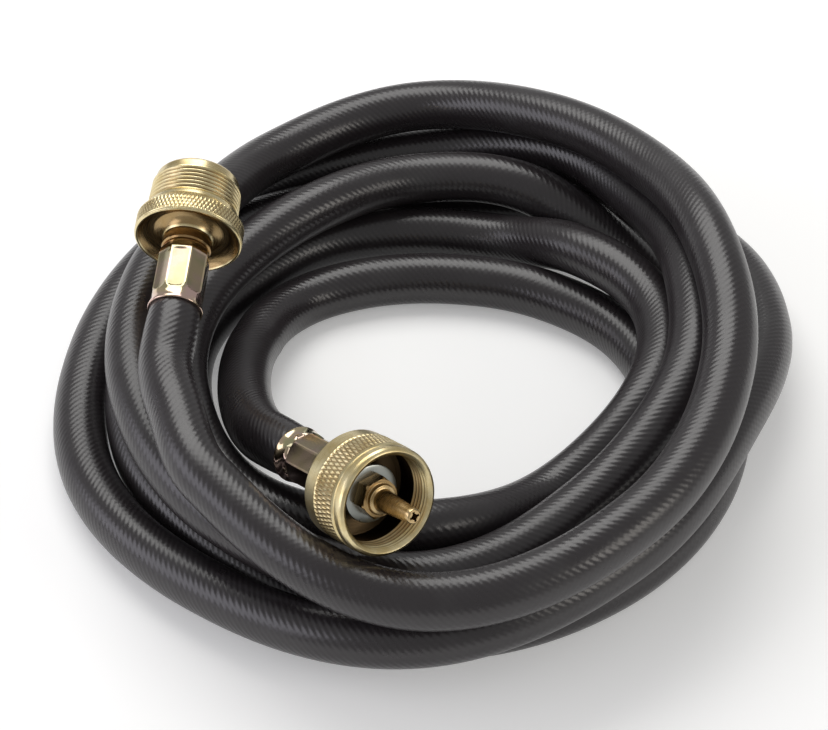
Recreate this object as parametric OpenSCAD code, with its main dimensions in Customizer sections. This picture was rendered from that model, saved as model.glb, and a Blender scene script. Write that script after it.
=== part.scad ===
// Propane extension hose, put away as a loose coil: a rubber hose with a crimped end fitting at
// each end. The outlet has a 1 inch - 20 outside thread, the inlet a knurled swivel nut and probe.
// Millimetres, +Z up, the coil lying on Z = 0. Both fittings are drawn along +Z from the mouth of
// their ferrule and then set in their place.

/* [Hose] */
// Outside diameter of the rubber hose
hose_od = 14.8; // [14.6:0.1:14.9]
// Bore of the hose
hose_bore = 8; // [7.6:0.1:8.4]
// How far the crimped ferrule squeezes the hose's cover in
crimp_squeeze = 1.3; // [1.1:0.1:1.4]
// How far the ferrule's mouth squeezes it in
mouth_squeeze = 0.6; // [0.4:0.1:0.8]

/* [Ferrules] */
// Length of a ferrule
ferrule_length = 20.2; // [18:0.1:22]
// Thickness of a ferrule's wall
ferrule_wall = 0.8; // [0.8:0.1:1.2]
// Depth of the crimp flats
crimp_depth = 0.4; // [0.3:0.1:0.5]
// Number of crimp flats
crimp_count = 8; // [6:1:8]
// Length of the crimp flats
crimp_length = 12.6; // [10:0.1:13]
// Distance from the mouth of a ferrule to its crimp flats
crimp_start = 3.8; // [3.2:0.1:4.2]
// Thickness of the wall at the flared mouth
flare_wall = 0.6; // [0.5:0.1:0.9]
// Length of the flared mouth
flare_length = 2.4; // [2:0.1:3]
// Thickness of the ferrule's end wall
ferrule_end_wall = 2.4; // [2:0.1:3]
// Width of the ferrule's face round the stem
ferrule_face_width = 1.1; // [0.9:0.1:1.5]

/* [Stems] */
// Thickness of a stem's wall between its barbs
stem_wall = 0.85; // [0.75:0.05:1.3]
// How far a stem's barbs stand out
barb_height = 0.4; // [0.2:0.05:0.5]
// Number of barbs
barb_count = 3; // [2:1:4]
// Distance from the first barb to the mouth of the ferrule
barb_setback = 1.2; // [0.8:0.1:2]
// Diameter of the stem's neck in the ferrule
neck_od = 8.6; // [8.2:0.1:9]
// Diameter of the stem's collar
collar_od = 13.6; // [12.8:0.1:14.4]
// Length of the collar of the outlet's stem
outlet_collar_length = 2.8; // [2:0.1:3.6]
// Width of the groove between that collar and the outlet body
collar_groove = 0.5; // [0.4:0.1:0.8]
// Depth of that groove
collar_groove_depth = 0.8; // [0.6:0.1:1.1]
// Length of the collar of the inlet's stem
inlet_collar_length = 5.2; // [4:0.1:6]

/* [Outlet] */
// Major diameter of the outlet's thread
thread_od = 25.4; // [25:0.1:25.8]
// Depth of a thread
thread_depth = 0.65; // [0.5:0.05:0.75]
// Pitch of both threads
thread_pitch = 1.27; // [1.2:0.01:1.4]
// Number of threads that show on the outlet
outlet_threads = 6; // [4:1:7]
// Length of the plain lead at the end of the outlet
outlet_lead = 3.1; // [2:0.1:4]
// Length of the last full-width ring at the end of the thread
outlet_land = 0.6; // [0.5:0.1:0.8]
// How far the plain lead lies below the thread
outlet_lead_step = 0.6; // [0.4:0.05:0.65]
// Length of the plain band between the thread and the flange
outlet_band = 3.3; // [2.4:0.1:4]
// How far the knurled flange stands out from the thread
flange_height = 2.1; // [1.8:0.1:2.6]
// Width of the knurled flange
flange_width = 5.5; // [4.8:0.1:6]
// Length of the sloped shoulder in front of the flange
flange_slope = 1.8; // [1.2:0.1:2.2]
// Thickness of the flange's rim round the dish in its back
flange_rim = 1; // [0.8:0.1:1.6]
// Depth of that dish
dish_depth = 3; // [2:0.1:3.4]
// Width of the dish's floor round the boss
dish_floor_width = 2.4; // [1.6:0.1:3]
// Diameter of the boss where it meets the flange
boss_root_od = 17.2; // [15:0.1:18]
// Thickness of the wall between the outlet's thread and its socket
outlet_wall = 2.65; // [2.2:0.05:3.2]
// Length of the narrow gas way behind the seal
throat_length = 1.1; // [0.8:0.1:1.6]
// Diameter of the seal in the outlet
seal_od = 10.8; // [10:0.1:11.6]
// Hole in the seal, which grips a mating probe
seal_hole = 3.8; // [3.4:0.1:4.2]
// Length of the seal
seal_length = 4.2; // [3.6:0.1:4.6]
// Diameter of the bush that holds the seal
retainer_od = 13; // [12.4:0.1:14]
// Length of that bush
retainer_length = 1.6; // [1.2:0.1:2]
// Hole in that bush
retainer_hole = 6.4; // [6:0.1:7]
// Diameter of the stem's spigot in the outlet body
outlet_spigot_od = 10; // [9:0.1:10.6]
// Length of that spigot
outlet_spigot_length = 5.3; // [4.6:0.1:5.6]

/* [Inlet] */
// Thickness of the swivel nut's plain bands round its thread
nut_side_wall = 1.6; // [1.4:0.1:1.7]
// Length of the swivel nut
nut_length = 17.2; // [16.6:0.1:17.8]
// How far the nut's knurl stands out
knurl_height = 0.15; // [0.1:0.05:0.3]
// Length of the plain band at the back of the nut
nut_back_band = 4.8; // [4:0.1:5.4]
// Length of the plain band at the nut's mouth
nut_front_band = 3.2; // [2.8:0.1:3.8]
// Width of the groove behind that band
nut_groove = 0.6; // [0.4:0.1:1]
// Thickness of the nut's back wall
nut_wall = 3.4; // [3:0.1:4]
// Number of threads in the nut
nut_threads = 5; // [4:1:5]
// Width of the collar's face that stops the nut
collar_face_width = 0.8; // [0.6:0.1:1.1]
// Distance that the nut can slide forward to the washer
nut_travel = 4.8; // [4:0.1:5.2]
// Width of the thrust washer's face that stops the nut
washer_face_width = 1.6; // [1.3:0.1:2.2]
// Thickness of the thrust washer
washer_thickness = 1.2; // [1:0.1:1.4]
// Distance across the flats of the probe's hexagon
probe_hex_across = 9.6; // [9.4:0.1:10.4]
// Thickness of the hexagon
probe_hex_length = 4; // [3.6:0.1:4.6]
// Thickness of the hexagon's wall round the stem's spigot, and before its end
probe_hex_wall = 0.9; // [0.7:0.1:1.1]
// Diameter of the probe's collar
probe_collar_od = 8; // [7.4:0.1:8.6]
// Length of the probe's collar
probe_collar_length = 1.2; // [0.8:0.1:1.6]
// Diameter of the probe at its collar
probe_root_od = 5.6; // [5.2:0.1:6]
// Diameter of the probe's tip
probe_tip_od = 4; // [3.8:0.1:4.4]
// Length of the probe beyond its collar
probe_length = 13.9; // [12:0.1:15]
// Bore of the probe
probe_bore = 1.6; // [1.4:0.1:1.8]
// Width of the two slots that cross in the tip's face
probe_slot_width = 0.6; // [0.4:0.1:0.8]
// Length of those slots
probe_slot_length = 2.6; // [2.2:0.1:2.8]
// Depth of those slots
probe_slot_depth = 1.4; // [1:0.1:2]

/* [Hidden] */
$fn = 96;

// Clearances
fit_gap = 0.1;       // between pieces that are pushed or screwed together, on each side
barb_gap = 0.15;     // between the barbs and the hose's bore, on each side
running_gap = 0.08;  // between the nut and the shank that it turns on, on each side
stop_gap = 0.1;      // between the nut and the collar behind it
tiny = 0.02;         // so that a cut runs out of its face

// Edge breaks
edge = 0.4;
nut_edge = 0.9;
mouth_chamfer = 0.8;
knurl_edge = 0.3;

// Diameters that follow from the hose, the thread and the walls
hose_crimped_od = hose_od - 2 * crimp_squeeze;
hose_mouth_od = hose_od - 2 * mouth_squeeze;
ferrule_od = hose_crimped_od + 2 * (fit_gap + ferrule_wall);
flare_od = hose_mouth_od + 2 * (fit_gap + flare_wall);
ferrule_face_od = neck_od + 2 * (fit_gap + ferrule_face_width);
barb_od = hose_bore - 2 * barb_gap;
barb_root_od = barb_od - 2 * barb_height;
stem_bore = barb_root_od - 2 * stem_wall;
collar_groove_od = collar_od - 2 * collar_groove_depth;
flange_od = thread_od + 2 * flange_height;
socket_od = thread_od - 2 * (thread_depth + outlet_wall);
nut_od = thread_od + 2 * nut_side_wall;
shank_od = collar_od - 2 * collar_face_width;
washer_od = shank_od + 2 * washer_face_width;
inlet_spigot_od = probe_hex_across - 2 * (fit_gap + probe_hex_wall);
inlet_spigot_length = probe_hex_length - probe_hex_wall - fit_gap;

// Where the coil's axis stands, so that the origin is the centre of the whole part's base
coil_centre = [-3.2, 16.4];

// The hose's route. One row for each lap, one [distance from the coil's axis, height of the
// centreline] for every 30 degrees, anticlockwise from above. The first lap starts at 240 degrees.
station_angle = 30;
first_angle = 240;
LAPS = [
  [[102.5, 41.6], [121.3, 33.3], [112.5, 37.5], [95.5, 44.5], [80.5, 49.6], [77.2, 42.6],
   [79.8, 36], [88.5, 25], [80, 22.5], [69.5, 29.5]],
  [[74.5, 31], [86, 29.5], [99, 26.5], [104, 22], [89, 22], [83.5, 32.5],
   [77, 34.1], [79, 25.8], [84.5, 20], [85.5, 9], [86, 6], [85.7, 6]],
  [[91, 6], [102, 6], [109.5, 10], [119.5, 17], [109, 21], [98, 21.5],
   [99.5, 14.5], [98, 6], [76.5, 6], [69, 6], [70.5, 6.5], [71.5, 13.5]],
  [[76.5, 15], [86.7, 7.5], [94.7, 6], [107, 6], [104.2, 6], [95.4, 6],
   [82.6, 6], [73.8, 7.6], [66, 19], [60.5, 19.5], [53, 22], [54, 21.5]],
  [[61.5, 21.5], [72.3, 21.2], [84.8, 20.4], [85, 21.3], [71.7, 10.2], [72.4, 20.8],
   [68.5, 21], [55.7, 19.2], [53.5, 8], [52, 6], [54, 6], [56.5, 6]],
  [[63.5, 6], [69.5, 6], [77, 6], [91, 6], [88.2, 6], [79.2, 6],
   [63.5, 6], [45.6, 6], [34.5, 6], [30.8, 6], [32.5, 6], [39, 6]],
  [[44.3, 10]]
];

// Mouths of the two ferrules, and where each fitting points: [heading, rise] in degrees
outlet_mouth = [-64, -30, 47.5];
outlet_aim = [84, 13.5];
inlet_mouth = [-30, -74.5, 38];
inlet_aim = [-53.5, 20.5];

// A point that the hose passes on its way from the outlet's ferrule to the first lap
lead_point = [-62.5, -62, 43.5];
// How strongly each curved lead holds the direction of its two ends
outlet_pull = 0.8;
inlet_pull = 0.65;
inlet_lap_pull = 0.7;

rings_per_lap = 24;
hose_sides = 6;
ring_angle = 360 / rings_per_lap;

// ---- small functions ----
function unit(v) = v / norm(v);
function aim_vector(aim) = [cos(aim[1]) * cos(aim[0]), cos(aim[1]) * sin(aim[0]), sin(aim[1])];
function blend(a, b, c, d, t) =
  0.5 * (2 * b + (c - a) * t + (2 * a - 5 * b + 4 * c - d) * t * t + (3 * b - a - 3 * c + d) * t * t * t);
function curve(p, p_way, q, q_way, t) =
  (2 * t * t * t - 3 * t * t + 1) * p + (t * t * t - 2 * t * t + t) * p_way
  + (3 * t * t - 2 * t * t * t) * q + (t * t * t - t * t) * q_way;
function least(v, i = 0) = i == len(v) - 1 ? v[i] : min(v[i], least(v, i + 1));

// ---- the hose's centreline ----
stations = [for (lap = LAPS) for (station = lap) station];
last_station = len(stations) - 1;
function station(i) =
  i < 0 ? 2 * stations[0] - stations[1]
  : i > last_station ? 2 * stations[last_station] - stations[last_station - 1]
  : stations[i];
function lap_point(turn) =
  let (place = min(turn / station_angle, last_station),
       i = min(floor(place), last_station - 1),
       polar = blend(station(i - 1), station(i), station(i + 1), station(i + 2), place - i),
       angle = first_angle + turn)
  [polar[0] * cos(angle), polar[0] * sin(angle), polar[1]];

coil_turn = last_station * station_angle;
outlet_way = aim_vector(outlet_aim);
inlet_way = aim_vector(inlet_aim);
hose_inside = ferrule_length - ferrule_end_wall - fit_gap;
outlet_straight = outlet_mouth - outlet_way * hose_od;
inlet_straight = inlet_mouth - inlet_way * hose_od;
coil_start = lap_point(0);
coil_end = lap_point(coil_turn);
start_way = unit(lap_point(ring_angle) - coil_start);
end_way = unit(coil_end - lap_point(coil_turn - ring_angle));
lead_way = unit(coil_start - outlet_straight);
lead_in = norm(lead_point - outlet_straight);
lead_out = norm(coil_start - lead_point);
inlet_lead = norm(inlet_straight - coil_end);

// [point, radius of the hose there], from the outlet's stem to the inlet's stem
function along(mouth, way, distance) = mouth + way * distance;
function route(step) = concat(
  [[along(outlet_mouth, outlet_way, hose_inside), hose_crimped_od / 2],
   [along(outlet_mouth, outlet_way, flare_length), hose_crimped_od / 2],
   [outlet_mouth, hose_mouth_od / 2],
   [outlet_straight, hose_od / 2]],
  [for (t = [0.5, 1])
    [curve(outlet_straight, -outlet_way * outlet_pull * lead_in, lead_point, lead_way * lead_in, t),
     hose_od / 2]],
  [for (t = [1 / 3, 2 / 3, 1])
    [curve(lead_point, lead_way * lead_out, coil_start, start_way * lead_out, t), hose_od / 2]],
  [for (turn = [step / 2 : step : coil_turn]) [lap_point(turn), hose_od / 2]],
  [for (t = [0, 0.25, 0.5, 0.75])
    [curve(coil_end, end_way * inlet_lap_pull * inlet_lead, inlet_straight,
           inlet_way * inlet_pull * inlet_lead, t), hose_od / 2]],
  [[inlet_straight, hose_od / 2],
   [inlet_mouth, hose_mouth_od / 2],
   [along(inlet_mouth, inlet_way, flare_length), hose_crimped_od / 2],
   [along(inlet_mouth, inlet_way, hose_inside), hose_crimped_od / 2]]
);
rings = route(ring_angle);
ring_count = len(rings);

// Direction of the hose at a ring: the fitting's own in each straight end, else its neighbours'
straight_rings = 4;
function ring_way(i) =
  i < straight_rings ? -outlet_way
  : i >= ring_count - straight_rings ? inlet_way
  : unit(rings[i + 1][0] - rings[i - 1][0]);
// A ring of points round the centreline, with a flat side down, kept above the floor
function ring_points(i, across) =
  let (way = ring_way(i), side = unit(cross(way, [0, 0, 1])), up = cross(side, way))
  [for (k = [0 : hose_sides - 1])
    let (angle = k * 360 / hose_sides,
         p = rings[i][0] + across * (cos(angle) * side + sin(angle) * up))
    [p[0], p[1], max(p[2], 0)]];

// Length of the hose, and its least gap to itself, measured on points half as far apart
fine_points = [for (ring = route(ring_angle / 2)) ring[0]];
fine_count = len(fine_points);
hose_length = [for (i = [1 : fine_count - 1]) norm(fine_points[i] - fine_points[i - 1])]
  * [for (i = [1 : fine_count - 1]) 1];
apart = 2 * ceil(90 / ring_angle);
least_gap = least([for (i = [0 : fine_count - 1 - apart])
  least([for (j = [i + apart : fine_count - 1]) norm(fine_points[i] - fine_points[j])])]) - hose_od;
echo(hose_length = hose_length, least_gap = least_gap, rings = ring_count);

// ---- places along a fitting, from the ferrule's mouth ----
collar_start = ferrule_length;
outlet_collar_end = collar_start + outlet_collar_length;
body_start = outlet_collar_end + collar_groove;
flange_end = body_start + flange_width;
thread_start = flange_end + outlet_band;
thread_end = thread_start + outlet_threads * thread_pitch;
outlet_end = thread_end + outlet_lead;
spigot_end = body_start + outlet_spigot_length;
seal_start = spigot_end + fit_gap + throat_length;
seal_end = seal_start + seal_length;
socket_floor = seal_end + retainer_length;

inlet_collar_end = collar_start + inlet_collar_length;
nut_start = inlet_collar_end + stop_gap;
nut_end = nut_start + nut_length;
nut_floor = nut_start + nut_wall;
shank_end = nut_floor + nut_travel + stop_gap;
probe_start = shank_end + washer_thickness;
hex_end = probe_start + probe_hex_length;
probe_collar_end = hex_end + probe_collar_length;
probe_end = probe_collar_end + probe_length;
echo(outlet_end = outlet_end, thread_start = thread_start, thread_end = thread_end,
     socket_floor = socket_floor, nut_start = nut_start, nut_end = nut_end, probe_end = probe_end);

module at_fitting(mouth, aim) {
  translate([coil_centre[0], coil_centre[1], 0])
    translate(mouth)
      rotate([0, 90 - aim[1], aim[0]])
        children();
}

module at_outlet() { at_fitting(outlet_mouth, outlet_aim) children(); }
module at_inlet() { at_fitting(inlet_mouth, inlet_aim) children(); }

// A turned piece from points [distance along the fitting, radius]
module turned(outline) {
  rotate_extrude() polygon([for (p = outline) [p[1], p[0]]]);
}

// ---- hose ----
module hose() {
  bore = hose_bore / 2 / cos(180 / hose_sides);
  outer = [for (i = [0 : ring_count - 1]) each ring_points(i, rings[i][1])];
  inner = [for (i = [0 : ring_count - 1]) each ring_points(i, bore)];
  n = ring_count * hose_sides;
  function next(k) = (k + 1) % hose_sides;
  walls = [for (i = [0 : ring_count - 2]) for (k = [0 : hose_sides - 1])
    let (a = i * hose_sides + k, b = i * hose_sides + next(k), c = a + hose_sides, d = b + hose_sides)
    each [[a, b, d], [a, d, c], [n + a, n + d, n + b], [n + a, n + c, n + d]]];
  last = (ring_count - 1) * hose_sides;
  ends = [for (k = [0 : hose_sides - 1])
    let (a = k, b = next(k))
    each [[a, n + a, n + b], [a, n + b, b],
          [last + a, last + b, n + last + b], [last + a, n + last + b, n + last + a]]];
  color("#2b2a2c")
    translate([coil_centre[0], coil_centre[1], 0])
      polyhedron(points = concat(outer, inner), faces = concat(walls, ends));
}

// ---- pieces that both ends have ----
module ferrule() {
  inside = hose_crimped_od / 2 + fit_gap;
  mouth_inside = hose_mouth_od / 2 + fit_gap;
  shoulder_start = crimp_start + crimp_length + edge;
  shoulder = ferrule_length - shoulder_start;
  difference() {
    turned([
      [0, mouth_inside], [0, flare_od / 2 - edge / 2], [edge / 2, flare_od / 2],
      [flare_length / 2, (flare_od + ferrule_od) / 4], [flare_length, ferrule_od / 2],
      [shoulder_start, ferrule_od / 2],
      [ferrule_length - shoulder / 3, (ferrule_od * 0.45 + ferrule_face_od * 0.55) / 2 + edge / 2],
      [ferrule_length, ferrule_face_od / 2], [ferrule_length, neck_od / 2 + fit_gap],
      [ferrule_length - ferrule_end_wall, neck_od / 2 + fit_gap],
      [ferrule_length - ferrule_end_wall, inside],
      [flare_length, inside]
    ]);
    for (k = [0 : crimp_count - 1])
      rotate([0, 0, k * 360 / crimp_count])
        translate([ferrule_od / 2 - crimp_depth, -ferrule_od / 2, crimp_start])
          cube([ferrule_od, ferrule_od, crimp_length]);
  }
}

// The barbed tail of a stem up to the start of its collar
function barb_outline() =
  let (barb = barb_od / 2, root = barb_root_od / 2,
       neck_start = hose_inside + fit_gap, pitch = (neck_start - barb_setback) / barb_count)
  concat([for (k = [0 : barb_count - 1]) each
    [[barb_setback + k * pitch, root],
     [barb_setback + (k + 0.8) * pitch, barb],
     [barb_setback + (k + 0.85) * pitch, root]]],
    [[neck_start, root], [neck_start, neck_od / 2], [collar_start, neck_od / 2]]);

function stem_outline(rest, end) =
  concat([[barb_setback, stem_bore / 2]], barb_outline(), rest, [[end, stem_bore / 2]]);

// Ring grooves that stand for a thread: flat crests at one radius, flat roots at the other
function thread_outline(start, count, crest, root) =
  [for (k = [0 : count - 1]) each
    [[start + k * thread_pitch, crest], [start + (k + 0.2) * thread_pitch, crest],
     [start + (k + 0.55) * thread_pitch, root], [start + (k + 0.65) * thread_pitch, root]]];

// ---- outlet ----
module outlet_ferrule() {
  color("#c9b98a") at_outlet() ferrule();
}

module outlet_stem() {
  color("#b98a55") at_outlet() turned(stem_outline([
    [collar_start, collar_od / 2 - edge], [collar_start + edge, collar_od / 2],
    [outlet_collar_end - edge / 2, collar_od / 2], [outlet_collar_end, collar_od / 2 - edge / 2],
    [outlet_collar_end, collar_groove_od / 2], [body_start, collar_groove_od / 2],
    [body_start, outlet_spigot_od / 2], [spigot_end, outlet_spigot_od / 2]], spigot_end));
}

module outlet_body() {
  dish_floor = body_start + dish_depth;
  lead_radius = thread_od / 2 - outlet_lead_step;
  spigot_hole = outlet_spigot_od / 2 + fit_gap;
  seal_seat = seal_od / 2 + fit_gap;
  retainer_seat = retainer_od / 2 + fit_gap;
  color("#c9a45c") at_outlet() turned(concat([
    [body_start, spigot_hole], [body_start, collar_od / 2],
    [dish_floor, boss_root_od / 2], [dish_floor, boss_root_od / 2 + dish_floor_width],
    [body_start, flange_od / 2 - flange_rim], [body_start, flange_od / 2 - edge],
    [body_start + edge, flange_od / 2], [flange_end - edge, flange_od / 2],
    [flange_end, flange_od / 2 - edge], [flange_end + flange_slope, thread_od / 2 + edge / 2],
    [thread_start - edge, thread_od / 2 + edge / 2]],
    thread_outline(thread_start, outlet_threads, thread_od / 2, thread_od / 2 - thread_depth), [
    [thread_end, thread_od / 2], [thread_end + outlet_land, thread_od / 2],
    [thread_end + outlet_land + edge, lead_radius], [outlet_end - edge * 2, lead_radius],
    [outlet_end, lead_radius - edge * 2], [outlet_end, socket_od / 2 + edge],
    [outlet_end - edge, socket_od / 2], [socket_floor, socket_od / 2],
    [socket_floor, retainer_seat], [seal_end, retainer_seat], [seal_end, seal_seat],
    [seal_start, seal_seat], [seal_start, stem_bore / 2],
    [spigot_end + fit_gap, stem_bore / 2], [spigot_end + fit_gap, spigot_hole]]));
}

module outlet_seal() {
  color("#1c1c1c") at_outlet() turned([
    [seal_start, seal_hole / 2], [seal_start, seal_od / 2],
    [seal_end, seal_od / 2], [seal_end, seal_hole / 2]]);
}

module seal_retainer() {
  color("#b9975a") at_outlet() turned([
    [seal_end, retainer_hole / 2], [seal_end, retainer_od / 2],
    [socket_floor, retainer_od / 2], [socket_floor, retainer_hole / 2 + edge],
    [socket_floor - edge, retainer_hole / 2]]);
}

// ---- inlet ----
module inlet_ferrule() {
  color("#c9b98a") at_inlet() ferrule();
}

module inlet_stem() {
  spigot = probe_start + inlet_spigot_length;
  color("#b98a55") at_inlet() turned(stem_outline([
    [collar_start, collar_od / 2 - edge], [collar_start + edge, collar_od / 2],
    [inlet_collar_end - edge / 2, collar_od / 2], [inlet_collar_end, collar_od / 2 - edge / 2],
    [inlet_collar_end, shank_od / 2], [shank_end, shank_od / 2],
    [shank_end, inlet_spigot_od / 2], [spigot, inlet_spigot_od / 2]], spigot));
}

module swivel_nut() {
  knurl_start = nut_start + nut_back_band;
  groove_end = nut_end - nut_front_band;
  groove_start = groove_end - nut_groove;
  knurl = nut_od / 2 + knurl_height;
  thread_back = nut_end - mouth_chamfer - nut_threads * thread_pitch;
  crest = thread_od / 2 - thread_depth;
  inside = thread_outline(thread_back, nut_threads, crest, thread_od / 2);
  color("#cfae68") at_inlet() turned(concat([
    [nut_start, shank_od / 2 + running_gap], [nut_start, nut_od / 2 - nut_edge],
    [nut_start + nut_edge / 3, nut_od / 2 - nut_edge / 3], [nut_start + nut_edge, nut_od / 2],
    [knurl_start, nut_od / 2], [knurl_start + knurl_edge, knurl],
    [groove_start - knurl_edge, knurl], [groove_start, nut_od / 2 - knurl_edge],
    [groove_end, nut_od / 2 - knurl_edge], [groove_end + knurl_edge, nut_od / 2],
    [nut_end - nut_edge, nut_od / 2], [nut_end - nut_edge / 3, nut_od / 2 - nut_edge / 3],
    [nut_end, nut_od / 2 - nut_edge], [nut_end, thread_od / 2 + edge],
    [nut_end - mouth_chamfer, crest]],
    [for (i = [len(inside) - 1 : -1 : 0]) inside[i]], [
    [thread_back - thread_depth, thread_od / 2], [nut_floor, thread_od / 2],
    [nut_floor, shank_od / 2 + running_gap]]));
}

module thrust_washer() {
  color("#b7bcc0") at_inlet() turned([
    [shank_end, inlet_spigot_od / 2 + fit_gap], [shank_end, washer_od / 2],
    [probe_start - edge / 2, washer_od / 2], [probe_start, washer_od / 2 - edge / 2],
    [probe_start, inlet_spigot_od / 2 + fit_gap]]);
}

module probe() {
  spigot_room = probe_start + inlet_spigot_length + fit_gap;
  tip_round = probe_tip_od / 10;
  color("#c08f4c") at_inlet() difference() {
    union() {
      intersection() {
        translate([0, 0, probe_start])
          cylinder(h = probe_hex_length, d = probe_hex_across / cos(30), $fn = 6);
        turned([
          [probe_start, 0], [probe_start, probe_hex_across], [hex_end - edge, probe_hex_across / 2 + edge],
          [hex_end, probe_hex_across / 2], [hex_end, 0]]);
      }
      turned([
        [hex_end - edge, 0], [hex_end - edge, probe_collar_od / 2],
        [probe_collar_end - edge / 2, probe_collar_od / 2],
        [probe_collar_end, probe_collar_od / 2 - edge / 2], [probe_collar_end, probe_root_od / 2],
        [probe_end - tip_round, probe_tip_od / 2],
        [probe_end - tip_round / 4, probe_tip_od / 2 - tip_round / 4],
        [probe_end, probe_tip_od / 2 - tip_round], [probe_end, 0]]);
    }
    translate([0, 0, probe_start - tiny]) cylinder(h = probe_end, d = probe_bore);
    translate([0, 0, probe_start - tiny])
      cylinder(h = spigot_room - probe_start + tiny, d = inlet_spigot_od + 2 * fit_gap);
    for (turn = [0, 90])
      rotate([0, 0, turn])
        translate([-probe_slot_length / 2, -probe_slot_width / 2, probe_end - probe_slot_depth])
          cube([probe_slot_length, probe_slot_width, probe_slot_depth + tiny]);
  }
}

hose();
outlet_ferrule();
outlet_stem();
outlet_body();
outlet_seal();
seal_retainer();
inlet_ferrule();
inlet_stem();
swivel_nut();
thrust_washer();
probe();
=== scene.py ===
"""Looks of a coiled propane hose: a threaded brass outlet at one end, a swivel nut with a probe at
the other. Each fitting is modelled along +Z from the mouth of its ferrule, then set in its place."""

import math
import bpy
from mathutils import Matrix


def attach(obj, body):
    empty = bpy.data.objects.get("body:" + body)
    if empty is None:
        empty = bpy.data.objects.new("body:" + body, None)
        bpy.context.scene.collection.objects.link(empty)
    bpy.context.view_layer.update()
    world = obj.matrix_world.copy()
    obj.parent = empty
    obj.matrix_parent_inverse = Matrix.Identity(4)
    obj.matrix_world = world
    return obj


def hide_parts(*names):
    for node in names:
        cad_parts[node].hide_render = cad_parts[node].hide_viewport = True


bl_info = {
    "name": "Propane Hose Looks",
    "version": (1, 0, 0),
    "blender": (4, 5, 0),
    "location": "View3D > Sidebar > Propane Hose",
    "description": "Models and finishes a coiled propane hose with both of its fittings",
    "category": "Add Mesh",
}

import bmesh
import bpy
from bpy.props import FloatProperty, FloatVectorProperty, IntProperty, PointerProperty
from mathutils import Matrix, Vector

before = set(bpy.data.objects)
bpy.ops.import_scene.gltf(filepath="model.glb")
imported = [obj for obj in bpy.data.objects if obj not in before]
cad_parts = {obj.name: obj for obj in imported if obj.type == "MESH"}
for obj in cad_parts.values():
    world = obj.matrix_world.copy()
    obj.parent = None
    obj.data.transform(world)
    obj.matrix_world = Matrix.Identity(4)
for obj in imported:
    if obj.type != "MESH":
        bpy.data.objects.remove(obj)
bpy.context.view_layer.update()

MM = 0.001
FULL_TURN = 2 * math.pi
FIXED = "coil"
TURNING = "nut"

# The hose's route. One row for each lap, one (distance from the coil's axis, height) for every
# 30 degrees, anticlockwise from above, in metres. The first lap starts at 240 degrees.
STATION_ANGLE = 30
FIRST_ANGLE = 240
WAY_ANGLE = 15
LAPS = [
    [(0.1025, 0.0416), (0.1213, 0.0333), (0.1125, 0.0375), (0.0955, 0.0445), (0.0805, 0.0496), (0.0772, 0.0426),
     (0.0798, 0.036), (0.0885, 0.025), (0.08, 0.0225), (0.0695, 0.0295)],
    [(0.0745, 0.031), (0.086, 0.0295), (0.099, 0.0265), (0.104, 0.022), (0.089, 0.022), (0.0835, 0.0325),
     (0.077, 0.0341), (0.079, 0.0258), (0.0845, 0.02), (0.0855, 0.009), (0.086, 0.006), (0.0857, 0.006)],
    [(0.091, 0.006), (0.102, 0.006), (0.1095, 0.01), (0.1195, 0.017), (0.109, 0.021), (0.098, 0.0215),
     (0.0995, 0.0145), (0.098, 0.006), (0.0765, 0.006), (0.069, 0.006), (0.0705, 0.0065), (0.0715, 0.0135)],
    [(0.0765, 0.015), (0.0867, 0.0075), (0.0947, 0.006), (0.107, 0.006), (0.1042, 0.006), (0.0954, 0.006),
     (0.0826, 0.006), (0.0738, 0.0076), (0.066, 0.019), (0.0605, 0.0195), (0.053, 0.022), (0.054, 0.0215)],
    [(0.0615, 0.0215), (0.0723, 0.0212), (0.0848, 0.0204), (0.085, 0.0213), (0.0717, 0.0102), (0.0724, 0.0208),
     (0.0685, 0.021), (0.0557, 0.0192), (0.0535, 0.008), (0.052, 0.006), (0.054, 0.006), (0.0565, 0.006)],
    [(0.0635, 0.006), (0.0695, 0.006), (0.077, 0.006), (0.091, 0.006), (0.0882, 0.006), (0.0792, 0.006),
     (0.0635, 0.006), (0.0456, 0.006), (0.0345, 0.006), (0.0308, 0.006), (0.0325, 0.006), (0.039, 0.006)],
    [(0.0443, 0.01)],
]
STATIONS = [Vector(station) for lap in LAPS for station in lap]
COIL_CENTRE = Vector((-0.0032, 0.0164, 0))

# Mouths of the ferrules, and where each fitting points: heading and rise, in degrees
OUTLET_MOUTH, OUTLET_AIM = Vector((-0.064, -0.03, 0.0475)), (84, 13.5)
INLET_MOUTH, INLET_AIM = Vector((-0.03, -0.0745, 0.038)), (-53.5, 20.5)
LEAD_POINT = Vector((-0.0625, -0.062, 0.0435))
OUTLET_PULL, INLET_PULL, INLET_LAP_PULL = 0.8, 0.65, 0.7


# ---- sizes and colours that a user may change ----
def length(name, default, description):
    return FloatProperty(name=name, default=default, description=description, unit="LENGTH", precision=5)


def colour(name, default, description):
    return FloatVectorProperty(name=name, default=default, description=description,
                               subtype="COLOR", size=3, min=0, max=1)


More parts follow.
